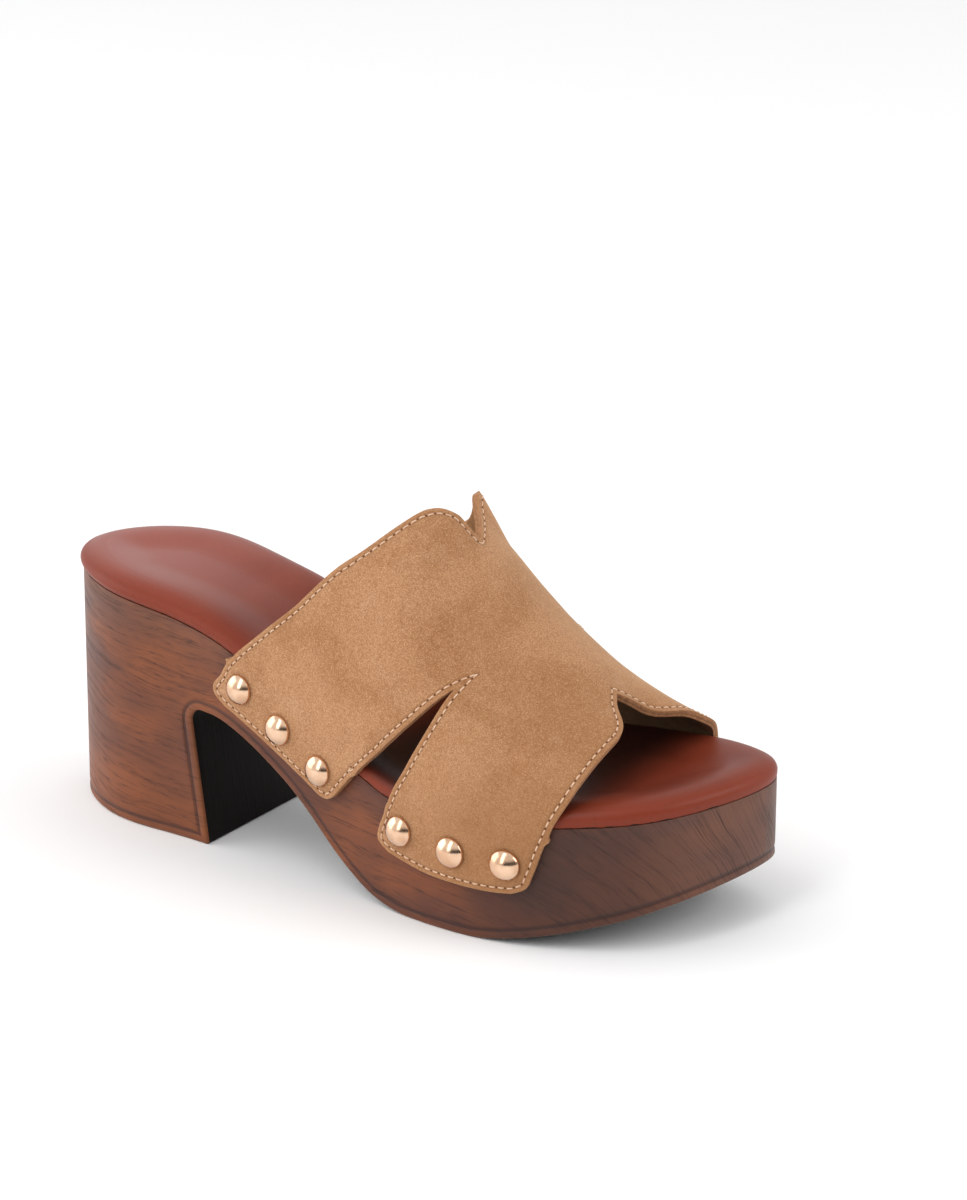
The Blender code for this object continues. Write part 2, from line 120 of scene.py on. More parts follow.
corners = [(0.0, 0.0)] + [(row[0], -row[1]) for row in outlineTable[1:]]
corners += [(1.0, 0.197)] + [(row[0], row[2]) for row in outlineTable[:0:-1]]
corners = np.array(corners) * (shoe["length"], shoe["ballWidth"])
outline, outlineRun = closedCurve(corners, 2400)
outline = np.roll(outline, -int(outline[:, 0].argmin()), 0)
outlineStep = outlineRun / len(outline)
toeIndex = int(outline[:, 0].argmax())
heelX, toeX = outline[0, 0], outline[toeIndex, 0]
sideShift = -(outline[:, 1].min() + outline[:, 1].max()) / 2
way = np.roll(outline, -1, 0) - np.roll(outline, 1, 0)
way /= np.linalg.norm(way, axis=1)[:, None]
outward = np.stack([way[:, 1], -way[:, 0]], 1)


# Place and outward direction of the sole's edge at x on the outer (-1) or inner (+1) side.
def edgePlace(x, side):
    count = np.arange(len(outline) + 1)
    closed, closedOut = np.vstack([outline, outline[:1]]), np.vstack([outward, outward[:1]])
    part = slice(0, toeIndex + 1) if side < 0 else slice(toeIndex, None)
    xs, spots = closed[part, 0], count[part]
    order = np.argsort(xs, kind="stable")
    spot = np.interp(x, xs[order], spots[order])
    at = np.stack([np.interp(spot, count, closed[:, k]) for k in (0, 1)], -1)
    out = np.stack([np.interp(spot, count, closedOut[:, k]) for k in (0, 1)], -1)
    out /= np.linalg.norm(out, axis=-1, keepdims=True)
    return at, out, spot * outlineStep


def edgeY(x, side):
    return edgePlace(x, side)[0][..., 1]


# Heights over the floor at x: the top of the wood and the walking face
def woodTop(x):
    return shoe["heelHeight"] * along(topTable, "z", np.asarray(x) / shoe["length"])


def walkingFace(x):
    run = (np.asarray(x, float) - shoe["archFrom"]) / (shoe["length"] - shoe["archFrom"])
    arch, spring = along(underTable, "arch", run), along(underTable, "spring", run)
    return shoe["archTop"] * arch + shoe["toeSpring"] * spring


def ramp(t):
    return np.clip(t, 0.0, 1.0)


# From the heel and the outline's own sides to the frame: centred, in metres
def toFrame(points):
    points = np.asarray(points, float)
    return (points + np.array([-shoe["length"] / 2, sideShift, 0.0])) / 1000


# The faces between the points of a grid; with wrap, also from its last column to its first
def gridQuads(rows, columns, first=0, wrap=False):
    index = first + np.arange(rows * columns).reshape(rows, columns)
    if wrap:
        index = np.concatenate([index, index[:, :1]], 1)
    return np.stack([index[:-1, :-1], index[1:, :-1], index[1:, 1:], index[:-1, 1:]], -1).reshape(-1, 4)


def addObject(name, data):
    made = bpy.data.objects.new(name, data)
    bpy.context.scene.collection.objects.link(made)
    return made


# One object from patches. A patch is a grid of points, whether its rows are rings, a material
# index and its attributes. Shared borders are merged and the faces turned outwards.
def makePiece(name, patches, looks, nodes, sharpAngle=40, closed=True):
    points, quads, slots, extras, first = [], [], [], {}, 0
    for patch in patches:
        grid = patch["points"]
        rows, columns = grid.shape[:2]
        faces = gridQuads(rows, columns, first, patch.get("wrap", False))
        points.append(grid.reshape(-1, 3))
        quads.append(faces)
        slots.append(np.full(len(faces), patch.get("look", 0)))
        first += rows * columns
    for key in patches[0].get("extras", {}):
        extras[key] = np.concatenate([
            np.broadcast_to(patch["extras"][key], patch["points"].shape[:2]).reshape(-1)
            for patch in patches])
    mesh = bpy.data.meshes.new(name)
    mesh.from_pydata(toFrame(np.concatenate(points)).tolist(), [], np.concatenate(quads).tolist())
    mesh.polygons.foreach_set("material_index", np.concatenate(slots).astype(np.int32))
    for key, values in extras.items():
        mesh.attributes.new(key, "FLOAT", "POINT").data.foreach_set("value", values.astype(np.float32))
    shell = bmesh.new()
    shell.from_mesh(mesh)
    bmesh.ops.remove_doubles(shell, verts=shell.verts, dist=0.000002)
    if closed:
        bmesh.ops.recalc_face_normals(shell, faces=shell.faces)
    shell.to_mesh(mesh)
    shell.free()
    mesh.shade_smooth()
    if sharpAngle:
        mesh.set_sharp_from_angle(angle=math.radians(sharpAngle))
    for look in looks:
        mesh.materials.append(look)
    made = addObject(name, mesh)
    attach(made, "root")
    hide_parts(*nodes)
    return made


# A socket with arithmetic: an expression on wires adds its Math nodes.
class Wire:
    def __init__(self, tree, socket=None):
        self.tree, self.socket = tree, socket

    def node(self, kind, settings=None, values=None, output=0):
        made = self.tree.nodes.new("ShaderNode" + kind)
        for key, value in (settings or {}).items():
            setattr(made, key, value)
        for key, value in (values or {}).items():
            if isinstance(value, Wire):
                self.tree.links.new(value.socket, made.inputs[key])
            else:
                made.inputs[key].default_value = value
        return Wire(self.tree, made.outputs[output])

    def calc(self, operation, *values):
        return self.node("Math", {"operation": operation}, dict(enumerate(values)))

    def __add__(self, other):
        return self.calc("ADD", self, other)

    def __sub__(self, other):
        return self.calc("SUBTRACT", self, other)

    def __rsub__(self, other):
        return self.calc("SUBTRACT", other, self)

    def __mul__(self, other):
        return self.calc("MULTIPLY", self, other)

    def __truediv__(self, other):
        return self.calc("DIVIDE", self, other)

    __radd__, __rmul__ = __add__, __mul__

    def size(self):
        return self.calc("ABSOLUTE", self)

    # 0 below low, 1 above high, smooth between
    def between(self, low, high):
        return self.node("MapRange", {"interpolation_type": "SMOOTHSTEP"},
                         {"Value": self, "From Min": low, "From Max": high})

    def attribute(self, name):
        return self.node("Attribute", {"attribute_name": name}, output="Fac")

    def place(self):
        return self.node("TexCoord", output="Object")

    # one coordinate of a place, in millimetres
    def axis(self, where, name):
        return self.node("SeparateXYZ", {}, {"Vector": where}, output=name) * 1000

    def bump(self, strength, distance, height):
        return self.node("Bump", {}, {"Strength": strength, "Distance": distance, "Height": height})

    def vector(self, x=0.0, y=0.0, z=0.0):
        return self.node("CombineXYZ", {}, {"X": x, "Y": y, "Z": z})

    def noise(self, where, scale, detail=2.0, rough=0.5, bend=0.0):
        return self.node("TexNoise", {}, {"Vector": where, "Scale": scale, "Detail": detail,
                                          "Roughness": rough, "Distortion": bend})

    # the first colour where factor is 0 and the second where it is 1, as wires or tones
    def blend(self, factor, first, second):
        first, second = (c if isinstance(c, Wire) else tint(*c) for c in (first, second))
        return self.node("Mix", {"data_type": "RGBA"}, {0: factor, 6: first, 7: second}, output=2)

    # tones laid over a colour in turn, each by its factor
    def layers(self, colour, *coats):
        for factor, tone in coats:
            colour = self.blend(factor, colour, tone)
        return colour


# A tone of 0 to 255 as the shader's linear colour
def tint(red, green, blue):
    shares = [v / 255 for v in (red, green, blue)]
    return tuple(v / 12.92 if v <= 0.04045 else ((v + 0.055) / 1.055)**2.4 for v in shares) + (1.0,)


# A material from a function that returns what its shader's sockets hold.
def makeLook(name, build, **fixed):
    look = bpy.data.materials.new(name)
    look.use_nodes = True
    tree = look.node_tree
    shader = tree.nodes["Principled BSDF"]
    sockets = {**fixed, **build(Wire(tree))}
    for key, value in sockets.items():
        if isinstance(value, Wire):
            tree.links.new(value.socket, shader.inputs[key])
        else:
            shader.inputs[key].default_value = value
    return look


# Camera, fitted to the photograph's view of this shoe
camera = {
    "azimuth": 33.96, "elevation": 20.90, "distance": 1.300, "target": (0.0, sideShift / 1000, 0.035),
    "focal": 4064.0, "centre": (406.3, 746.3), "image": (967, 1200), "roll": -0.17,
}


# The camera looks past the target by the angles between the picture's middle and the target's pixel.
def makeCamera(s):
    azimuth, elevation = math.radians(s["azimuth"]), math.radians(s["elevation"])
    back = Vector((math.sin(azimuth) * math.cos(elevation), -math.cos(azimuth) * math.cos(elevation),
                   math.sin(elevation)))
    right = Vector((math.cos(azimuth), math.sin(azimuth), 0.0))
    up = back.cross(right)
    place = Vector(s["target"]) + back * s["distance"]
    turnX = (s["centre"][0] - s["image"][0] / 2) / s["focal"]
    turnY = (s["centre"][1] - s["image"][1] / 2) / s["focal"]
    axes = Matrix((right, up, -back)).transposed()
    sight = axes @ Vector((-math.sin(turnX) * math.cos(turnY), math.sin(turnY),
                           math.cos(turnX) * math.cos(turnY)))
    side = axes @ Vector((math.cos(turnX), 0.0, math.sin(turnX)))
    top = side.cross(sight)
    roll = math.radians(s["roll"])
    side, top = (side * math.cos(roll) + top * math.sin(roll),
                 top * math.cos(roll) - side * math.sin(roll))
    data = bpy.data.cameras.new("camera")
    data.sensor_fit, data.sensor_height, data.sensor_width = "VERTICAL", 36.0, 36.0
    data.lens = s["focal"] / s["image"][1] * 36.0
    data.clip_start, data.clip_end = 0.05, 60.0
    made = addObject("camera", data)
    made.matrix_world = Matrix.Translation(place) @ Matrix((side, top, -sight)).transposed().to_4x4()
    bpy.context.scene.camera = made


makeCamera(camera)
print("camera placed")

# Floor and light
studio = {
    "floor": 0.95, "world": 0.88, "worldLow": 0.04, "dimToward": (0.82, -0.57, 0.0),
    "dimSide": (0.38, 0.80), "dimHeight": (0.22, 0.58), "floorReach": 12.0, "aim": (0.0, 0.0, 0.05),
    "lights": {
        "leftLight": {"place": (-1.7, -0.7, 0.8), "wide": 1.7, "tall": 1.5, "power": 14.5},
        "frontLight": {"place": (-0.05, -1.45, 1.35), "wide": 0.55, "tall": 2.3, "power": 12.0},
        "toeLight": {"place": (1.65, 0.45, 1.05), "wide": 1.2, "tall": 1.0, "power": 11.0},
    },
}


def makeStudio(s):
    mesh, reach = bpy.data.meshes.new("floor"), s["floorReach"]
    mesh.from_pydata([(-reach, -reach, 0), (reach, -reach, 0), (reach, reach, 0), (-reach, reach, 0)],
                     [], [(0, 1, 2, 3)])
    floor = addObject("floor", mesh)
    mesh.materials.append(makeLook("floorPaper", lambda wire: {
        "Base Color": (s["floor"], s["floor"], s["floor"], 1.0)}, Roughness=0.9))
    world = bpy.data.worlds.new("studio")
    bpy.context.scene.world = world
    world.use_nodes = True
    wire = Wire(world.node_tree)
    sky = wire.node("TexCoord", output="Generated")
    facing = wire.node("VectorMath", {"operation": "DOT_PRODUCT"}, {0: sky, 1: s["dimToward"]},
                       output="Value")
    height = wire.node("SeparateXYZ", {}, {"Vector": sky}, output="Z")
    dim = facing.between(*s["dimSide"]) * (1 - height.between(*s["dimHeight"]))
    strength = s["world"] - dim * (s["world"] - s["worldLow"])
    backdrop = world.node_tree.nodes["Background"]
    backdrop.inputs["Color"].default_value = (1.0, 1.0, 1.0, 1.0)
    world.node_tree.links.new(strength.socket, backdrop.inputs["Strength"])
    for name, light in s["lights"].items():
        data = bpy.data.lights.new(name, "AREA")
        data.shape, data.energy = "RECTANGLE", light["power"]
        data.size, data.size_y = light["wide"], light["tall"]
        lamp = addObject(name, data)
        lamp.location = light["place"]
        aim = Vector(s["aim"]) - Vector(light["place"])
        lamp.rotation_euler = aim.to_track_quat("-Z", "Y").to_euler()
    view = bpy.context.scene.view_settings
    view.view_transform, view.look = "Standard", "None"


makeStudio(studio)
print("studio lit")

# Sole unit: the moulded body with its platform, open arch and block heel
soleUnit = {
    "heelStations": 46, "turnStations": 6, "breastStations": 18, "bendStations": 14,
    "roofStations": 190, "wallRows": 24, "across": 18, "underRound": 0.8,
    "topHeel": 46.0, "topBreast": 56.0,
    "brown": (92, 53, 40), "dark": (46, 27, 23), "red": (130, 72, 41), "greySheen": (102, 75, 65),
    "rim": (140, 86, 52), "hollow": (44, 28, 27), "shadow": (58, 38, 33), "under": (13, 8, 6),
    "stripe": (24, 18, 15), "seamDrop": 0.28, "seamIn": 0.24, "seamSoft": 0.45, "sink": 0.7,
}


# Side view of the walking face moved into the material by depth: the heel's base, a small round
# at its front corner, the leaning breast, a round of the arch corner's radius plus depth, then the
# roof of the arch and the forefoot, raised by depth times the square root of 1 + slope squared.
def underCurve(depth):
    s = soleUnit
    lean = (shoe["breastFoot"] - shoe["breastHead"]) / shoe["archTop"]
    secant, tilt = math.hypot(1, lean), math.atan2(lean, 1)
    soft = max(s["underRound"] - depth, 0.0)
    inner = depth + soft
    cornerX = shoe["breastFoot"] - (lean + secant) * inner
    t = np.linspace(0, 1, s["heelStations"])
    x = heelX + (cornerX - heelX) * (1 - np.cos(np.pi / 2 * t))
    base = np.stack([x, np.full(len(t), depth)], 1)
    angle = np.linspace(-np.pi / 2, tilt, s["turnStations"])[1:]
    turn = np.stack([cornerX + soft * np.cos(angle), inner + soft * np.sin(angle)], 1)
    centreZ = shoe["archTop"] - shoe["archCorner"]
    centreX = shoe["breastFoot"] - lean * centreZ + shoe["archCorner"] * secant
    angle = np.linspace(np.pi + tilt, np.pi / 2, s["bendStations"])
    radius = shoe["archCorner"] + depth
    bend = np.stack([centreX + radius * np.cos(angle), centreZ + radius * np.sin(angle)], 1)
    t = np.linspace(0, 1, s["breastStations"])[1:-1, None]
    breast = turn[-1] * (1 - t) + bend[0] * t
    x = centreX + (toeX - centreX) * np.sin(np.pi / 2 * np.linspace(0, 1, s["roofStations"]))[1:]
    slope = walkingFace(x + 0.5) - walkingFace(x - 0.5)
    roof = np.stack([x, walkingFace(x) + depth * np.hypot(1, slope)], 1)
    return np.concatenate([base, turn, breast, bend, roof])


# Where each station of the side view meets the top of the wood
def topCurve(under):
    s = soleUnit
    heel, turn = s["heelStations"], s["turnStations"] - 1
    breast, bend = s["breastStations"] - 2, s["bendStations"]
    x = under[:, 0].copy()
    x[:heel] = heelX + (under[:heel, 0] - heelX) * (s["topHeel"] - heelX) / (under[heel - 1, 0] - heelX)
    x[heel:heel + turn] = s["topHeel"]
    start, middle, end = heel + turn, heel + turn + breast, heel + turn + breast + bend
    x[start:middle] = np.linspace(s["topHeel"], s["topBreast"], breast + 1)[1:]
    x[middle:end] = np.linspace(s["topBreast"], under[end, 0], bend + 2)[1:-1]
    return np.stack([x, woodTop(x)], 1)


# The outline's points over a side-view curve, moved in square to the edge by inset: the outer side
# from heel to toe, then the inner side back again. Also the run along the edge from heel and toe.
def soleRing(curve, inset):
    outer, outerOut, outerRun = edgePlace(curve[:, 0], -1)
    inner, innerOut, innerRun = edgePlace(curve[:, 0], 1)
    height = curve[:, 1:]
    ring = np.concatenate([np.hstack([outer - inset * outerOut, height]),
                           np.hstack([inner - inset * innerOut, height])[::-1]])
    toeRun = toeIndex * outlineStep
    fromHeel = np.concatenate([outerRun, (innerRun - outlineRun)[::-1]])
    fromToe = np.concatenate([outerRun - toeRun, (innerRun - toeRun)[::-1]])
    return ring, fromHeel, fromToe


# The wall through rows of side-view curve, inset and rim tone: above 0 a worn edge, below 0 painted
# shade in the seam's groove
def wallPatch(rows):
    rings = [soleRing(curve, inset) for curve, inset, _ in rows]
    return {"points": np.stack([ring for ring, _, _ in rings]), "wrap": True,
            "extras": {"fromHeel": np.stack([a for _, a, _ in rings]),
                       "fromToe": np.stack([b for _, _, b in rings]),
                       "rim": np.stack([np.full(len(rings[0][1]), rim) for _, _, rim in rows])}}


# The dark face across a ring: straight lines from its outer to its inner side
def acrossPatch(row):
    ring, fromHeel, fromToe = soleRing(row[0], row[1])
    count = len(ring) // 2
    t = np.linspace(0, 1, soleUnit["across"])[None, :, None]
    outer, inner = ring[:count, None], ring[count:][::-1, None]
    return {"points": outer * (1 - t) + inner * t, "look": 1,
            "extras": {"fromHeel": fromHeel[:count, None], "fromToe": fromToe[:count, None],
                       "rim": row[2]}}


# Dashed dark lines where a stretched noise crosses its middle value, over slow colour patches.
# The lines run round from the heel, and lie aslant near the toe.
def woodPaint(wire):
    s, place = soleUnit, wire.place()
    x, z = wire.axis(place, "X"), wire.axis(place, "Z")
    heelRun, toeRun = wire.attribute("fromHeel"), wire.attribute("fromToe")
    wave = wire.noise(wire.vector(heelRun / 70, z / 40, 2.0), 1.0, 2.0) * 13
    lines, dashes = [], []
    slant = z * 0.9 + toeRun * 1.5625 + toeRun * toeRun * 0.0075 + wave
    for run, rise, seed in ((heelRun, z + wave + heelRun * 0.12, 0.0), (toeRun, slant, 7.0)):
        grain = wire.noise(wire.vector(run / 64, rise / 3.1, seed), 1.0, 3.0, 0.5)
        broad = 1 - (grain - 0.5).size().between(0.0, 0.038)
        rings = wire.noise(wire.vector(run / 60, rise / 1.9, seed + 5), 1.0, 2.0, 0.5)
        lines.append(broad * 0.65 + rings.between(0.52, 0.66) * 0.45)
        dashes.append(wire.noise(wire.vector(run / 4.5, rise / 0.6, seed + 3), 1.0, 2.0, 0.6))
    toward = x.between(38, 84)
    line = lines[0] * (1 - toward) + lines[1] * toward
    dash = dashes[0] * (1 - toward) + dashes[1] * toward
    pores = dash.between(0.56, 0.70)
    patch = wire.noise(wire.vector(heelRun / 46, z / 22, 11.0), 1.0, 3.0)
    lowHeel = (1 - z.between(6, 62)) * (1 - x.between(-60, 10))
    broken = line * (toward * 0.22 + 0.58) * dash.between(0.30, 0.60)
    shadow = x.between(40, 78) * (1 - x.between(98, 121) * 0.8) * (1 - z.between(26, 60) * 0.5)
    rim = wire.attribute("rim")
    wearAndShade = rim.between(0.0, 1.0) * (1 - x.between(-20, 50) * 0.75)
    colour = wire.layers(
        wire.blend(patch.between(0.36, 0.66), s["brown"], s["red"]), (lowHeel * 0.5, s["red"]),
        # painted reflection: greyer toward the toe and near the top of the heel
        (x.between(70, 124) * 0.55 + z.between(58, 78) * 0.35, s["greySheen"]),
        (broken + pores * 0.32, s["dark"]), (shadow * 0.72, s["shadow"]), (wearAndShade * 0.42, s["rim"]),
        # painted shade in the seam's groove, where the rim tone is below 0
        ((rim * -1).between(0.0, 1.0) * 0.62, s["hollow"]))
    rough = wire.noise(place, 90.0, 3.0) * 0.16 + 0.34 + line * 0.12
    return {"Base Color": colour, "Roughness": rough,
            "Normal": wire.bump(0.35, 0.00025, line * -0.5 - pores * 0.5)}


# The underside: nearly black, with fine stripes along it
def darkPaint(wire):
    stretched = wire.node("Mapping", {}, {"Vector": wire.place(), "Scale": (0.1, 1.0, 0.05)})
    stripes = wire.noise(stretched, 900.0, 2.0)
    colour = wire.blend(stripes.between(0.35, 0.7), soleUnit["under"], soleUnit["stripe"])
    return {"Base Color": colour, "Roughness": stripes * 0.2 + 0.5,
            "Normal": wire.bump(0.3, 0.0003, stripes)}


woodLook = makeLook("mouldedWood", woodPaint, **{"Specular IOR Level": 0.28})
darkLook = makeLook("darkUnderside", darkPaint, **{"Specular IOR Level": 0.12})


# From the seam over the walking layer up the wall to the top, where the edge turns in a little
def makeSoleUnit(s):
    start = shoe["outsole"] + shoe["gap"]
    low = underCurve(start + s["seamSoft"])
    top = topCurve(low)
    rows = [(underCurve(start - s["seamDrop"]), s["seamIn"], -1.0), (underCurve(start), 0.2, -0.9),
            (low, 0.09, -0.6), (underCurve(start + 1.3), 0.0, 0.0)]
    sink = np.array([0.0, s["sink"]])
    shares = np.linspace(0, 1, s["wallRows"])
    rows += [(low * (1 - t) + (top - sink) * t, 0.0, 0.0) for t in shares[1:]]
    rows += [(top - (0.0, 0.12), 0.05, 0.0), (top, 0.22, 0.0)]
    patches = [wallPatch(rows), acrossPatch(rows[0]), acrossPatch(rows[-1])]
    makePiece("soleUnit", patches, [woodLook, darkLook], ["sole_unit"])


# Outsole: the walking layer under the whole sole, with a rounded worn edge
def makeOutsole():
    thick = shoe["outsole"]
    # depth, inset and rim tone (a worn edge above 0, painted groove shade below 0)
    profile = [(0.0, 1.1, 0.6), (0.06, 0.66, 0.8), (0.3, 0.26, 0.9), (0.66, 0.05, 0.7), (1.1, 0.0, 0.3),
               (1.7, 0.0, 0.35), (2.15, 0.06, 0.0), (2.5, 0.18, -0.7), (thick, 0.24, -1.0)]
    rows = [(underCurve(depth), inset, rim) for depth, inset, rim in profile]
    patches = [wallPatch(rows), acrossPatch(rows[0]), acrossPatch(rows[-1])]
    makePiece("walkingLayer", patches, [woodLook, darkLook], ["outsole"])


makeSoleUnit(soleUnit)
makeOutsole()
print("sole made")

# Footbed: the padded leather insole with a rolled edge and a soft crest inside it
footbed = {
    "stations": 260, "ringRows": 22, "innerRows": 26, "crest": 6.35, "dish": 1.9, "dishWidth": 17.0,
    "middle": (0.13, 0.85), "overhang": 0.9, "overhangFrom": 90.0, "overhangRun": 60.0,
    "lapHeight": 5.2,
    "leather": (110, 43, 25), "pale": (125, 54, 34), "side": (128, 50, 28), "deep": (70, 26, 18),
    "glue": (46, 20, 14), "underUpperShade": (26, 8, 6), "satinAndSheen": (142, 56, 34),
}
# height over the wood and distance in from the edge, from the glued underside round the roll
rollTable = [
    ("step", "inset", "height"),
    (0.0, 0.35, -0.26), (0.08, 0.12, 0.1), (0.16, -0.04, 0.8), (0.28, -0.12, 2.0), (0.38, 0.15, 3.2),
    (0.48, 0.8, 4.25), (0.58, 1.8, 5.0), (0.70, 3.3, 5.72), (0.84, 5.2, 6.2), (1.0, 7.4, 6.35),
]


# Rings square in from the edge by the roll's curve, then straight to the middle line, where the
# height falls from the crest by dish times the sine squared of the way, within the dish's width.
# At the heel the roll stands over the wood by the overhang.
def makeFootbed(s):
    t = np.linspace(0, 1, s["stations"])
    x = heelX + (toeX - heelX) * (1 - np.cos(np.pi * t)) / 2
    outer, outerOut, _ = edgePlace(x, -1)
    inner, innerOut, _ = edgePlace(x, 1)
    edge, out = np.concatenate([outer, inner[::-1]]), np.concatenate([outerOut, innerOut[::-1]])
    middleX = np.clip(x, *(share * shoe["length"] for share in s["middle"]))
    middle = np.stack([middleX, (edgeY(middleX, -1) + edgeY(middleX, 1)) / 2], 1)
    middle = np.concatenate([middle, middle[::-1]])
    rings, depths = [], []
    lap = s["overhang"] * (1 - ramp((edge[:, :1] - s["overhangFrom"]) / s["overhangRun"]))
    for step in np.linspace(0, 1, s["ringRows"]):
        inset, height = float(along(rollTable, "inset", step)), float(along(rollTable, "height", step))
        bulge = lap * math.sin(math.pi * min(max(height, 0.0) / s["lapHeight"], 1.0))**0.7
        rings.append(np.hstack([edge - (inset - bulge) * out, np.full((len(edge), 1), height)]))
        depths.append(np.full(len(edge), height))
    last = rings[-1][:, :2]
    for share in np.linspace(0, 1, s["innerRows"])[1:]:
        at = last * (1 - share) + middle * share
        away = np.linalg.norm(at - last, axis=1)
        fall = s["dish"] * np.sin(np.pi / 2 * np.clip(away / s["dishWidth"], 0, 1))**2
        rings.append(np.hstack([at, (s["crest"] - fall)[:, None]]))
        depths.append(s["crest"] + away)
    grid = np.stack(rings)
    grid[..., 2] += woodTop(grid[..., 0]) + shoe["gap"]
    half = len(x)
    under = grid[0]
    w = np.linspace(0, 1, 10)[None, :, None]
    flat = under[:half, None] * (1 - w) + under[half:][::-1, None] * w
    flat[..., 2] = woodTop(flat[..., 0]) + shoe["gap"] + rollTable[1][2]
    patches = [{"points": grid, "wrap": True, "extras": {"edgeGap": np.stack(depths)}},
               {"points": flat, "extras": {"edgeGap": 0.0}}]
    makePiece("footbedLeather", patches, [leatherLook], ["footbed"], sharpAngle=0)


# Smooth leather: slow cloudy tone, fine pores, the roll's side painted lighter as lit, painted shade
# where the upper covers it, a satin coat and a painted sheen on the heel and a dark broken line of glue
# at the very edge.
def leatherPaint(wire):
    s, place = footbed, wire.place()
    x, gap = wire.axis(place, "X"), wire.attribute("edgeGap")
    cloud, fine = wire.noise(place, 26.0, 3.0, 0.55, 0.4), wire.noise(place, 700.0, 3.0)
    # painted shade where the upper covers the footbed
    underUpperShade = x.between(0, 16) * (1 - x.between(74, 98)) * gap.between(2.0, 6.0)
    # painted sheen in the heel's colour, together with the heel's satin coat
    satinAndSheen = (1 - x.between(-114, -28)) * gap.between(3.6, 7.2)
    glue = wire.noise(place, 300.0, 2.0, 0.6)
    colour = wire.layers(
        wire.blend(cloud.between(0.34, 0.7), s["leather"], s["pale"]),
        # painted light: the roll's side lighter and more orange than the top
        ((1 - gap.between(4.6, 7.6)) * 0.75, s["side"]), (underUpperShade * 0.9, s["underUpperShade"]),
        (satinAndSheen, s["satinAndSheen"]), (fine.between(0.5, 0.75) * 0.16, s["deep"]),
        (1 - (gap - glue * 2.2).between(-1.32, -1.05), s["glue"]))
    pores = wire.node("TexVoronoi", {}, {"Vector": place, "Scale": 1500.0})
    return {"Base Color": colour, "Roughness": cloud * 0.14 + 0.38,
            "Coat Weight": satinAndSheen * 0.75 + fine * 0.1,
            "Normal": wire.bump(0.16, 0.0004, pores * 0.35 + cloud * 0.6 + fine * 0.3)}


leatherLook = makeLook("footbedLeather", leatherPaint, **{
    "Specular IOR Level": 0.20, "Coat Roughness": 0.32})
makeFootbed(footbed)
print("footbed made")

# Upper: suede over a thin lining, one sheet with slits and notches
upper = {
    "rise": 84.0, "hemDrop": 20.4, "hangFrom": 1.0, "wallShare": 0.25, "girth": 125.0,
    "innerLean": 0.5, "leanFrom": 0.597, "leanRun": 0.097, "nickWidth": 0.009,
    "lining": 0.95, "suedeFrom": 1.0, "suede": 1.4, "softEdge": 0.24, "rowStep": 0.0085,
    "suedeColumns": (62, 48), "liningColumns": (34, 26), "liningRows": 1.8, "markStep": 0.5,
    "stitchIn": 1.8, "stitchPeriod": 2.9, "stitchLength": 2.2, "stitchWidth": 0.54,
    "stitchThick": 0.44, "stitchBow": 0.34, "stitchSink": 0.20, "holeWidth": 0.68,
    "tan": (178, 130, 92), "brown": (158, 109, 70), "pale": (192, 149, 112), "dusty": (194, 154, 121),
    "grain": (136, 88, 54), "wearAndShade": (146, 98, 58), "fibre": (220, 180, 142), "thread": (230, 198, 170),
    "threadDark": (204, 164, 132), "pressed": (150, 104, 66), "hole": (104, 64, 40),
    "cutEdge": (178, 126, 86), "cutDark": (140, 98, 64), "sheen": (240, 214, 180),
    "liningTone": (126, 96, 66), "liningBackLit": (196, 146, 100), "liningDark": (84, 62, 42),
}
crestTable = [
    ("x", "rise"),
    (0.282, 0.480), (0.363, 0.677), (0.431, 0.859), (0.504, 0.994), (0.573, 0.988), (0.617, 0.902),
    (0.657, 0.787), (0.702, 0.662), (0.758, 0.501), (0.819, 0.365), (0.859, 0.294), (0.911, 0.217),
    (0.968, 0.152),
]
# bells of q that fade in along the shoe: the dip at the front notch, the flicked-up peak behind
# the back notch and the crown beside it
swellTable = [
    ("height", "q", "width", "from", "run"),
    (-3.2, 0.11, 0.10, 0.782, 0.056), (8.0, 0.20, 0.07, 0.609, -0.04),
    (4.4, -0.10, 0.155, 0.620, -0.02),
]
hemTable = [
    ("x", "drop"),
    (0.282, 0.84), (0.508, 0.84), (0.589, 0.76), (0.685, 0.91), (0.774, 1.00), (0.847, 1.00),
]
backTable = [
    ("q", "x"),
    (-1, 0.323), (-0.985, 0.309), (-0.95, 0.303), (-0.87, 0.316), (-0.75, 0.336), (-0.62, 0.382),
    (-0.5, 0.441), (-0.36, 0.503), (-0.22, 0.550), (-0.13, 0.575), (-0.085, 0.587), (-0.045, 0.601),
    (0, 0.617), (0.06, 0.605), (0.12, 0.590), (0.165, 0.579), (0.21, 0.572), (0.27, 0.559),
    (0.36, 0.521), (0.5, 0.457), (0.62, 0.391), (0.75, 0.339), (0.87, 0.316), (0.95, 0.303),
    (0.985, 0.309), (1, 0.323),
]
frontTable = [
    ("q", "x"),
    (-1, 0.786), (-0.985, 0.800), (-0.94, 0.809), (-0.84, 0.821), (-0.75, 0.833), (-0.62, 0.846),
    (-0.48, 0.854), (-0.34, 0.858), (-0.24, 0.859), (-0.175, 0.857), (-0.12, 0.848), (-0.06, 0.829),
    (0, 0.814), (0.06, 0.830), (0.12, 0.844), (0.21, 0.860), (0.3, 0.869), (0.38, 0.874),
    (0.5, 0.872), (0.64, 0.866), (0.75, 0.862), (0.84, 0.853), (0.94, 0.845), (0.985, 0.835),
    (1, 0.821),
]
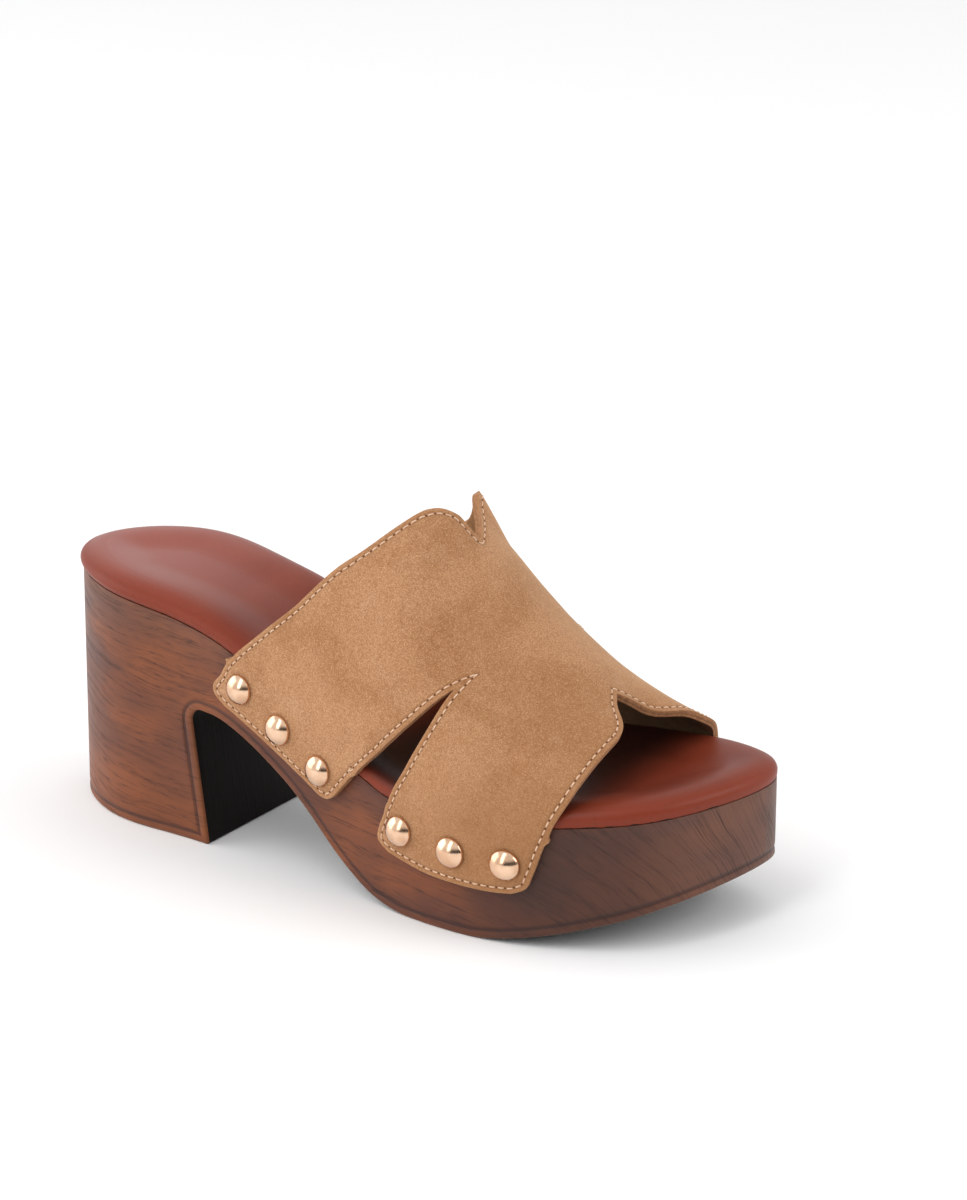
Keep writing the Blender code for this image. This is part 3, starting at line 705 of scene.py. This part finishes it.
outerSlit = [
    ("q", "back", "front"),
    (-1, 0.486, 0.607), (-0.985, 0.497, 0.595), (-0.955, 0.507, 0.588), (-0.9, 0.518, 0.591),
    (-0.83, 0.531, 0.598), (-0.75, 0.548, 0.606), (-0.66, 0.591, 0.632), (-0.56, 0.633, 0.655),
    (-0.42, 0.677, 0.677),
]
innerSlit = [
    ("q", "back", "front"),
    (0.33, 0.6935, 0.6935), (0.46, 0.652, 0.670), (0.6, 0.603, 0.647), (0.75, 0.555, 0.619),
    (0.83, 0.540, 0.608), (0.9, 0.529, 0.601), (0.955, 0.519, 0.598), (0.985, 0.510, 0.605),
    (1, 0.496, 0.617),
]
studTable = [
    ("outer", "inner", "drop"),
    (0.350, 0.353, 0.34), (0.417, 0.423, 0.41), (0.486, 0.494, 0.43),
    (0.625, 0.639, 0.34), (0.704, 0.719, 0.45), (0.777, 0.796, 0.54),
]
# soft folds: from one point to another in x and q, with width and height in millimetres
foldTable = [
    ("x0", "q0", "x1", "q1", "width", "height"),
    (0.690, -0.36, 0.800, -0.10, 9.0, -0.55),
    (0.560, -0.55, 0.640, -0.20, 12.0, 0.50),
    (0.720, -0.62, 0.800, -0.52, 8.0, 0.45),
    (0.400, -0.66, 0.520, -0.60, 8.0, -0.45),
    (0.640, -0.05, 0.760, 0.02, 10.0, 0.40),
    (0.720, 0.25, 0.840, 0.40, 9.0, -0.50),
    (0.460, 0.58, 0.600, 0.42, 11.0, 0.40),
]


# The inner face. On the sole's side (the outer share of q) it hangs straight down. Over the foot
# it is half an ellipse from side to side, its height the crest's at the middle, and on the inner
# side in front it leans in by c squared times (1 - c). The swellings are added to it.
def vampInner(x, q):
    s = upper
    x, q = np.broadcast_arrays(np.asarray(x, float), np.asarray(q, float))
    reach = shoe["gap"] + 0.1
    outer, inner = edgeY(x, -1) - reach, edgeY(x, 1) + reach
    base, station, share = woodTop(x) + s["hangFrom"], x / shoe["length"], 1 - s["wallShare"]
    crest = woodTop(x) + s["rise"] * along(crestTable, "rise", station) - shoe["sheet"]
    hang = s["hemDrop"] * along(hemTable, "drop", station) + s["hangFrom"]
    drop = (np.abs(q) - share) / s["wallShare"] * hang
    turn = np.clip(q / share, -1, 1) * np.pi / 2
    swell = sum(height * np.exp(-((q - at) / width)**2) * ramp((station - begin) / run)
                for height, at, width, begin, run in swellTable[1:])
    rise, lean = np.cos(turn), s["innerLean"] * ramp((station - s["leanFrom"]) / s["leanRun"])
    rise = rise - (q > 0) * lean * rise**2 * (1 - rise)
    hanging = np.abs(q) > share
    over = (outer + inner) / 2 + (inner - outer) / 2 * np.sin(turn)
    y = np.where(hanging, np.where(q > 0, inner, outer), over)
    z = np.where(hanging, base - drop, base + (crest - base) * rise + swell)
    return np.stack([x, y, z], -1)


# Directions of the sheet along x and along q, by differences, and its outward normal
def vampAxes(x, q):
    dx, dq = 0.4, 0.004
    alongX = (vampInner(x + dx, q) - vampInner(x - dx, q)) / (2 * dx)
    alongQ = (vampInner(x, q + dq) - vampInner(x, q - dq)) / (2 * dq)
    normal = np.cross(alongX, alongQ)
    return alongX, alongQ, normal / np.linalg.norm(normal, axis=-1, keepdims=True)


# Height of the folds: each a soft ridge or trough, a bell of the distance to its line.
# One unit of q counts as the girth in millimetres.
def foldHeight(x, q):
    scale = np.array([1.0, upper["girth"]])
    here = np.stack([x, q], -1) * scale
    total = np.zeros(np.shape(x))
    for x0, q0, x1, q1, width, height in foldTable[1:]:
        start = np.array([x0 * shoe["length"], q0]) * scale
        line = np.array([x1 * shoe["length"], q1]) * scale - start
        t = np.clip(((here - start) @ line) / (line @ line), 0, 1)
        away = np.linalg.norm(here - start - t[..., None] * line, axis=-1)
        total += height * np.exp(-(away / width)**2)
    return total


# A point of the sheet, lift outward from its inner face
def vampPoint(x, q, lift):
    normal = vampAxes(x, q)[2]
    return vampInner(x, q) + normal * (lift + foldHeight(x, q))[..., None]


# The small frayed corners where each leg meets the edge of the footbed, as a bell of q
def nick(q, centre, size):
    return size * np.exp(-((q - centre) / upper["nickWidth"])**2)


# Each side of the crest is its own curve, so the notch between them comes to a point
def bothSides(table, q):
    middle = [row[0] for row in table].index(0)
    outer, inner = table[:middle + 1], table[:1] + table[middle:]
    return shoe["length"] * np.where(np.asarray(q) < 0, along(outer, "x", q), along(inner, "x", q))


def backEdge(q):
    return bothSides(backTable, q) - nick(q, -0.775, 1.2) - nick(q, 0.785, 0.9)


def frontEdge(q):
    return bothSides(frontTable, q) + nick(q, -0.80, 1.0) + nick(q, 0.80, 0.9)


# Both sides of the slits; between the tips the two blocks of columns share one line
def slitLines(q):
    outerTip, innerTip = outerSlit[-1][0], innerSlit[1][0]
    bridge = np.interp(q, [outerTip, innerTip], [outerSlit[-1][1], innerSlit[1][1]])
    inside = [np.where(q > innerTip, along(innerSlit, name, q), bridge) for name in ("back", "front")]
    back, front = (np.where(q < outerTip, along(outerSlit, name, q), rest)
                   for name, rest in zip(("back", "front"), inside))
    return back * shoe["length"], front * shoe["length"]


# Values of q for the rows: finer steps at the hems, and one row at each slit's tip and the crest
def girthRows(step):
    stops = [-1.0, -0.97, outerSlit[-1][0], 0.0, innerSlit[1][0], 0.97, 1.0]
    fine = [step / 3, step, step, step, step, step / 3]
    pieces = [np.linspace(a, b, max(2, int(round((b - a) / size))) + 1)[:-1]
              for a, b, size in zip(stops, stops[1:], fine)]
    return np.concatenate(pieces + [np.array([1.0])])


# The cut edges as four chains from tip to tip: slit, hem, then back or front edge
def edgeChains():
    outerTip, innerTip = outerSlit[-1][0], innerSlit[1][0]
    down, up = np.linspace(outerTip, -1, 170), np.linspace(-1, 0, 300)
    innerUp, innerDown = np.linspace(1, innerTip, 190), np.linspace(innerTip, 1, 190)

    def hem(a, b, side):
        return np.stack([np.linspace(a, b, 90), np.full(90, side)], 1)

    def slit(q, which):
        return np.stack([slitLines(q)[which], q], 1)

    def cut(table, q):
        return np.stack([bothSides(table, q), q], 1)

    chains = [
        [slit(down, 0), hem(slitLines(-1.0)[0], backEdge(-1.0), -1.0), cut(backTable, up)],
        [cut(backTable, -up[::-1]), hem(backEdge(1.0), slitLines(1.0)[0], 1.0), slit(innerUp, 0)],
        [slit(innerDown, 1), hem(slitLines(1.0)[1], frontEdge(1.0), 1.0), cut(frontTable, -up)],
        [cut(frontTable, up[::-1]), hem(frontEdge(-1.0), slitLines(-1.0)[1], -1.0),
         slit(down[::-1], 1)],
    ]
    return [np.concatenate([chain[0]] + [part[1:] for part in chain[1:]]) for chain in chains]


# The path's values at even steps along its points
def evenly(points, path, spacing):
    walked = np.r_[0, np.cumsum(np.linalg.norm(np.diff(points, axis=0), axis=1))]
    count = max(2, int(walked[-1] / spacing) + 1)
    at = np.linspace(0, walked[-1], count)
    return np.stack([np.interp(at, walked, path[:, k]) for k in range(path.shape[1])], 1)


# Distance from each point to the nearest target, in batches that fit the memory
def nearest(points, targets, batch=1500):
    found = np.empty(len(points))
    for k in range(0, len(points), batch):
        apart = points[k:k + batch, None] - targets[None]
        found[k:k + batch] = np.sqrt((apart**2).sum(-1).min(1))
    return found


# Unit directions along a row of points
def runOf(points):
    run = np.gradient(points, axis=0)
    return run / np.linalg.norm(run, axis=1)[:, None]


# The stitch rows: each chain moved in square to itself within the sheet, less the points that
# come too near another edge, then drawn on past the tips until it meets its neighbour
def stitchRows(chains, cutPoints):
    s, lift = upper, shoe["sheet"]
    rows, nearShare, tail, farthest, fallback = [], 0.94, 11, 16, 4.0
    for chain in chains:
        chain = evenly(vampPoint(chain[:, 0], chain[:, 1], lift), chain, 0.4)
        run = runOf(vampPoint(chain[:, 0], chain[:, 1], lift))
        alongX, alongQ, normal = vampAxes(chain[:, 0], chain[:, 1])
        aim = np.cross(run, normal) * s["stitchIn"]
        a, b, c = (alongX**2).sum(1), (alongX * alongQ).sum(1), (alongQ**2).sum(1)
        u, v = (aim * alongX).sum(1), (aim * alongQ).sum(1)
        spread = a * c - b * b
        moved = chain + np.stack([(c * u - b * v) / spread, (a * v - b * u) / spread], 1)
        there = vampPoint(moved[:, 0], moved[:, 1], lift)
        rows.append(moved[nearest(there, cutPoints) > s["stitchIn"] * nearShare])
    count, scale = len(rows), np.array([1.0, s["girth"]])
    for k in range(count):
        first, second = rows[k], rows[(k + 1) % count]
        a, b = first[-1] * scale, second[0] * scale
        da, db = a - first[-tail - 1] * scale, b - second[tail] * scale
        da, db = da / np.linalg.norm(da), db / np.linalg.norm(db)
        reach = np.linalg.solve(np.stack([da, -db], 1), b - a)
        reach = np.where((reach > 0) & (reach < farthest), reach, fallback)
        t = np.linspace(0, 1, 20)[1:, None]
        rows[k] = np.concatenate([first, (a + da * reach[0] * t) / scale])
        rows[(k + 1) % count] = np.concatenate([((b + db * reach[1] * t) / scale)[::-1], second])
    return rows


# One layer: two grids of columns, behind and before the slits, thickened outward from its lift.
# The columns crowd toward both edges by t - 0.07 sin(2 pi t).
def vampSheet(name, lift, thick, columns, step, looks, extras):
    q = girthRows(step)[:, None]
    start, end = backEdge(q), frontEdge(q)
    near, far = slitLines(q)
    patches = []
    for a, b, count in ((start, near, columns[0]), (far, end, columns[1])):
        t = np.linspace(0, 1, count + 1)[None]
        t = t - 0.07 * np.sin(2 * np.pi * t)
        x, girth = a + (b - a) * t, np.broadcast_to(q, (len(q), count + 1))
        outer = vampPoint(x, girth, lift + thick)
        marks = {key: nearest(outer.reshape(-1, 3), targets).reshape(x.shape)
                 for key, targets in extras.items()}
        patches.append({"points": vampPoint(x, girth, lift), "extras": marks})
    made = makePiece(name, patches, looks, ["upper"], sharpAngle=0, closed=False)
    mesh = made.data
    normals = np.empty(len(mesh.polygons) * 3, np.float32)
    mesh.polygons.foreach_get("normal", normals)
    if normals.reshape(-1, 3)[:, 2].sum() < 0:
        mesh.flip_normals()
    shell = made.modifiers.new("thickness", "SOLIDIFY")
    shell.thickness, shell.offset = thick / 1000, 1.0
    shell.use_even_offset, shell.use_quality_normals = True, True
    shell.material_offset_rim = 1
    soft = made.modifiers.new("softEdge", "BEVEL")
    soft.width, soft.segments, soft.limit_method = upper["softEdge"] / 1000, 2, "ANGLE"
    soft.angle_limit = math.radians(55)


# Suede: three sizes of mottle over a short nap, darker and pressed in along the stitch row, with
# painted shade toward the front and lower down
def suedePaint(wire):
    s, place = upper, wire.place()
    elsewhere = wire.node("Mapping", {}, {"Vector": place, "Location": (0.3, 0.1, 0.2)})
    cloud, dust = wire.noise(place, 34.0, 4.0, 0.62, 0.6), wire.noise(elsewhere, 42.0, 4.0, 0.66, 0.8)
    spots, nap = wire.noise(place, 720.0, 3.0, 0.75), wire.noise(place, 2300.0, 2.0, 0.75)
    # painted shade: the suede darker toward the front, more so lower down
    front, low = wire.axis(place, "X").between(5, 75), 1 - wire.axis(place, "Z").between(28, 72)
    trough = 1 - wire.attribute("rowGap").between(0.1, 1.3)
    edge = 1 - wire.attribute("cutGap").between(0.0, 1.2)
    colour = wire.layers(
        wire.blend(cloud.between(0.32, 0.62), s["brown"], s["tan"]),
        (dust.between(0.52, 0.74) * 0.42, s["dusty"]), (spots.between(0.47, 0.68) * 0.20, s["pale"]),
        ((1 - spots.between(0.34, 0.50)) * 0.28, s["grain"]),
        (nap.between(0.50, 0.66) * 0.36, s["fibre"]),
        ((1 - nap.between(0.38, 0.50)) * 0.48, s["grain"]),
        (front * 0.10 + low * front * 0.40, s["wearAndShade"]), (trough * 0.25 + edge * 0.22, s["pressed"]))
    height = nap * 0.5 + spots * 0.8 + cloud * 1.2 - trough * 2.6 - edge * 1.2
    return {"Base Color": colour, "Roughness": nap * 0.1 + 0.86,
            "Normal": wire.bump(0.75, 0.00016, height)}


def cutPaint(wire):
    fibre = wire.noise(wire.place(), 900.0, 3.0, 0.7)
    colour = wire.blend(fibre.between(0.3, 0.7), upper["cutDark"], upper["cutEdge"])
    return {"Base Color": colour, "Roughness": 0.92, "Normal": wire.bump(0.7, 0.0002, fibre)}


def liningPaint(wire):
    s, place = upper, wire.place()
    fibre, cloud = wire.noise(place, 800.0, 3.0, 0.7), wire.noise(place, 40.0, 2.0)
    # painted light: the lining lighter and tan toward the back, where light reaches it
    colour = wire.blend(wire.axis(place, "X").between(35, 65), s["liningBackLit"], s["liningTone"])
    colour = wire.blend((1 - (fibre + cloud).between(0.7, 1.3)) * 0.4, colour, s["liningDark"])
    return {"Base Color": colour, "Roughness": 0.88, "Normal": wire.bump(0.5, 0.00015, fibre)}


def threadPaint(wire):
    twist = wire.noise(wire.place(), 2600.0, 2.0, 0.6)
    colour = wire.blend(twist.between(0.35, 0.65), upper["threadDark"], upper["thread"])
    return {"Base Color": colour, "Roughness": 0.75, "Normal": wire.bump(0.5, 0.0001, twist)}


suedeLook = makeLook("tanSuede", suedePaint, **{
    "Sheen Weight": 0.35, "Sheen Roughness": 0.5, "Sheen Tint": tint(*upper["sheen"]),
    "Specular IOR Level": 0.2})
cutLook = makeLook("suedeCutEdge", cutPaint)
liningLook = makeLook("oliveLining", liningPaint)
threadLook = makeLook("palePinkThread", threadPaint)
# painted shade: the dark tone of the needle holes
holeShadeLook = makeLook("needleHoleShade", lambda wire: {"Base Color": tint(*upper["hole"])}, Roughness=0.95)


# Stitches and needle holes take turns, half a period apart, each kind as one joined mesh. A stitch
# is a thread that bows up by 1 - t squared between its holes and is round in section; a hole is
# a ring painted dark as the hole's shade, a little longer than wide.
def makeStitches(rows):
    s, lift = upper, shoe["sheet"]
    around, lengthwise, holeAround, part = 6, 6, 8, 8
    t = np.linspace(-1, 1, lengthwise)[:, None]
    angle = np.linspace(0, 2 * np.pi, around, endpoint=False)[None]
    bow = 1 - t**2
    slim = 0.55 + 0.45 * bow
    stitch = (t * s["stitchLength"] / 2 + 0 * angle, s["stitchWidth"] / 2 * slim * np.cos(angle),
              s["stitchThick"] / 2 * slim * np.sin(angle) + s["stitchBow"] * bow - s["stitchSink"])
    radius = np.array([0.04, s["holeWidth"] / 2])[:, None]
    angle = np.linspace(0, 2 * np.pi, holeAround, endpoint=False)[None]
    hole = (radius * np.cos(angle) * 1.15, radius * np.sin(angle), 0.05 + 0 * radius * angle)
    for name, shape, first, look in (("stitches", stitch, part // 2, threadLook),
                                     ("needleHoles", hole, 0, holeShadeLook)):
        copies = []
        for row in rows:
            even = evenly(vampPoint(row[:, 0], row[:, 1], lift), row, s["stitchPeriod"] / part)
            spots, normal = vampPoint(even[:, 0], even[:, 1], lift), vampAxes(even[:, 0], even[:, 1])[2]
            run = runOf(spots)
            axes = np.stack([run, np.cross(normal, run), normal], 1)[first::part]
            turned = np.einsum("kij,nkl->nijl", np.stack(shape), axes)
            copies.append(spots[first::part, None, None] + turned)
        points = np.concatenate(copies)
        one = gridQuads(*points.shape[1:3], wrap=True)
        quads = one[None] + np.arange(len(points))[:, None, None] * points.shape[1] * points.shape[2]
        quads = quads.reshape(-1, 4)[:, ::-1]
        mesh = bpy.data.meshes.new(name)
        mesh.from_pydata(toFrame(points.reshape(-1, 3)).tolist(), [], quads.tolist())
        mesh.shade_smooth()
        mesh.materials.append(look)
        piece = addObject(name, mesh)
        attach(piece, "root")


def makeUpper(s):
    def traced(lines):
        onSheet = [vampPoint(line[:, 0], line[:, 1], shoe["sheet"]) for line in lines]
        return np.concatenate([evenly(points, points, s["markStep"]) for points in onSheet])

    chains = edgeChains()
    cutPoints = traced(chains)
    rows = stitchRows(chains, cutPoints)
    vampSheet("suedeUpper", s["suedeFrom"], s["suede"], s["suedeColumns"], s["rowStep"],
              [suedeLook, cutLook], {"cutGap": cutPoints, "rowGap": traced(rows)})
    vampSheet("upperLining", 0.0, s["lining"], s["liningColumns"], s["rowStep"] * s["liningRows"],
              [liningLook, cutLook], {"cutGap": cutPoints})
    makeStitches(rows)


makeUpper(upper)
print("upper made")

# Studs: domed heads on a short rim
stud = {
    "width": 10.0, "height": 3.4, "rim": 0.7, "footIn": 0.4, "around": 48, "rings": 14,
    "metal": (238, 202, 172), "dull": (220, 178, 146),
}


def metalPaint(wire):
    place = wire.place()
    cloud = wire.noise(place, 240.0, 2.0)
    colour = wire.blend(cloud.between(0.3, 0.7), stud["metal"], stud["dull"])
    scratch = wire.noise(wire.node("Mapping", {}, {"Vector": place, "Scale": (1.0, 1.0, 8.0)}), 900.0)
    return {"Base Color": colour, "Roughness": cloud * 0.1 + 0.14,
            "Normal": wire.bump(0.05, 0.0001, scratch)}


metalLook = makeLook("roseGold", metalPaint, Metallic=1.0)


# A cap of a ball whose radius is (width squared / 4 + cap squared) / (2 cap), over a straight rim
def makeStuds(s):
    cap = s["height"] - s["rim"]
    ball = (s["width"]**2 / 4 + cap**2) / (2 * cap)
    limit = math.asin(s["width"] / 2 / ball)
    angle = limit * (1 - np.linspace(0, 1, s["rings"]))
    half = s["width"] / 2
    radius = np.concatenate([[0.0, half - s["footIn"], half, half], ball * np.sin(angle)[1:]])
    height = np.concatenate([[0.0, 0.0, 0.15, s["rim"] - 0.1],
                             s["rim"] + cap - ball * (1 - np.cos(angle))[1:]])
    radius[-1] = 0.0
    turn = np.linspace(0, 2 * np.pi, s["around"], endpoint=False)
    for side, word in ((-1, "outer"), (1, "inner")):
        for number, (outer, inner, drop) in enumerate(studTable[1:], 1):
            x, name = shoe["length"] * (outer if side < 0 else inner), f"stud_{word}_{number}"
            slope = float(edgeY(x + 1, side) - edgeY(x - 1, side)) / 2
            face = np.array([-slope * side, side, 0.0]) / math.hypot(slope, 1)
            across, up = np.array([-face[1], face[0], 0.0]), np.array([0.0, 0.0, 1.0])
            away = shoe["gap"] * 2 + 0.1 + shoe["sheet"]
            spot = np.array([x, float(edgeY(x, side)), float(woodTop(x)) - drop * upper["hemDrop"]])
            grid = (spot + face * (away + height[:, None, None])
                    + across * (radius[:, None] * np.cos(turn))[..., None]
                    + up * (radius[:, None] * np.sin(turn))[..., None])
            makePiece(f"{name}_head", [{"points": grid, "wrap": True}], [metalLook], [name],
                      sharpAngle=50)


makeStuds(stud)
print("studs made")
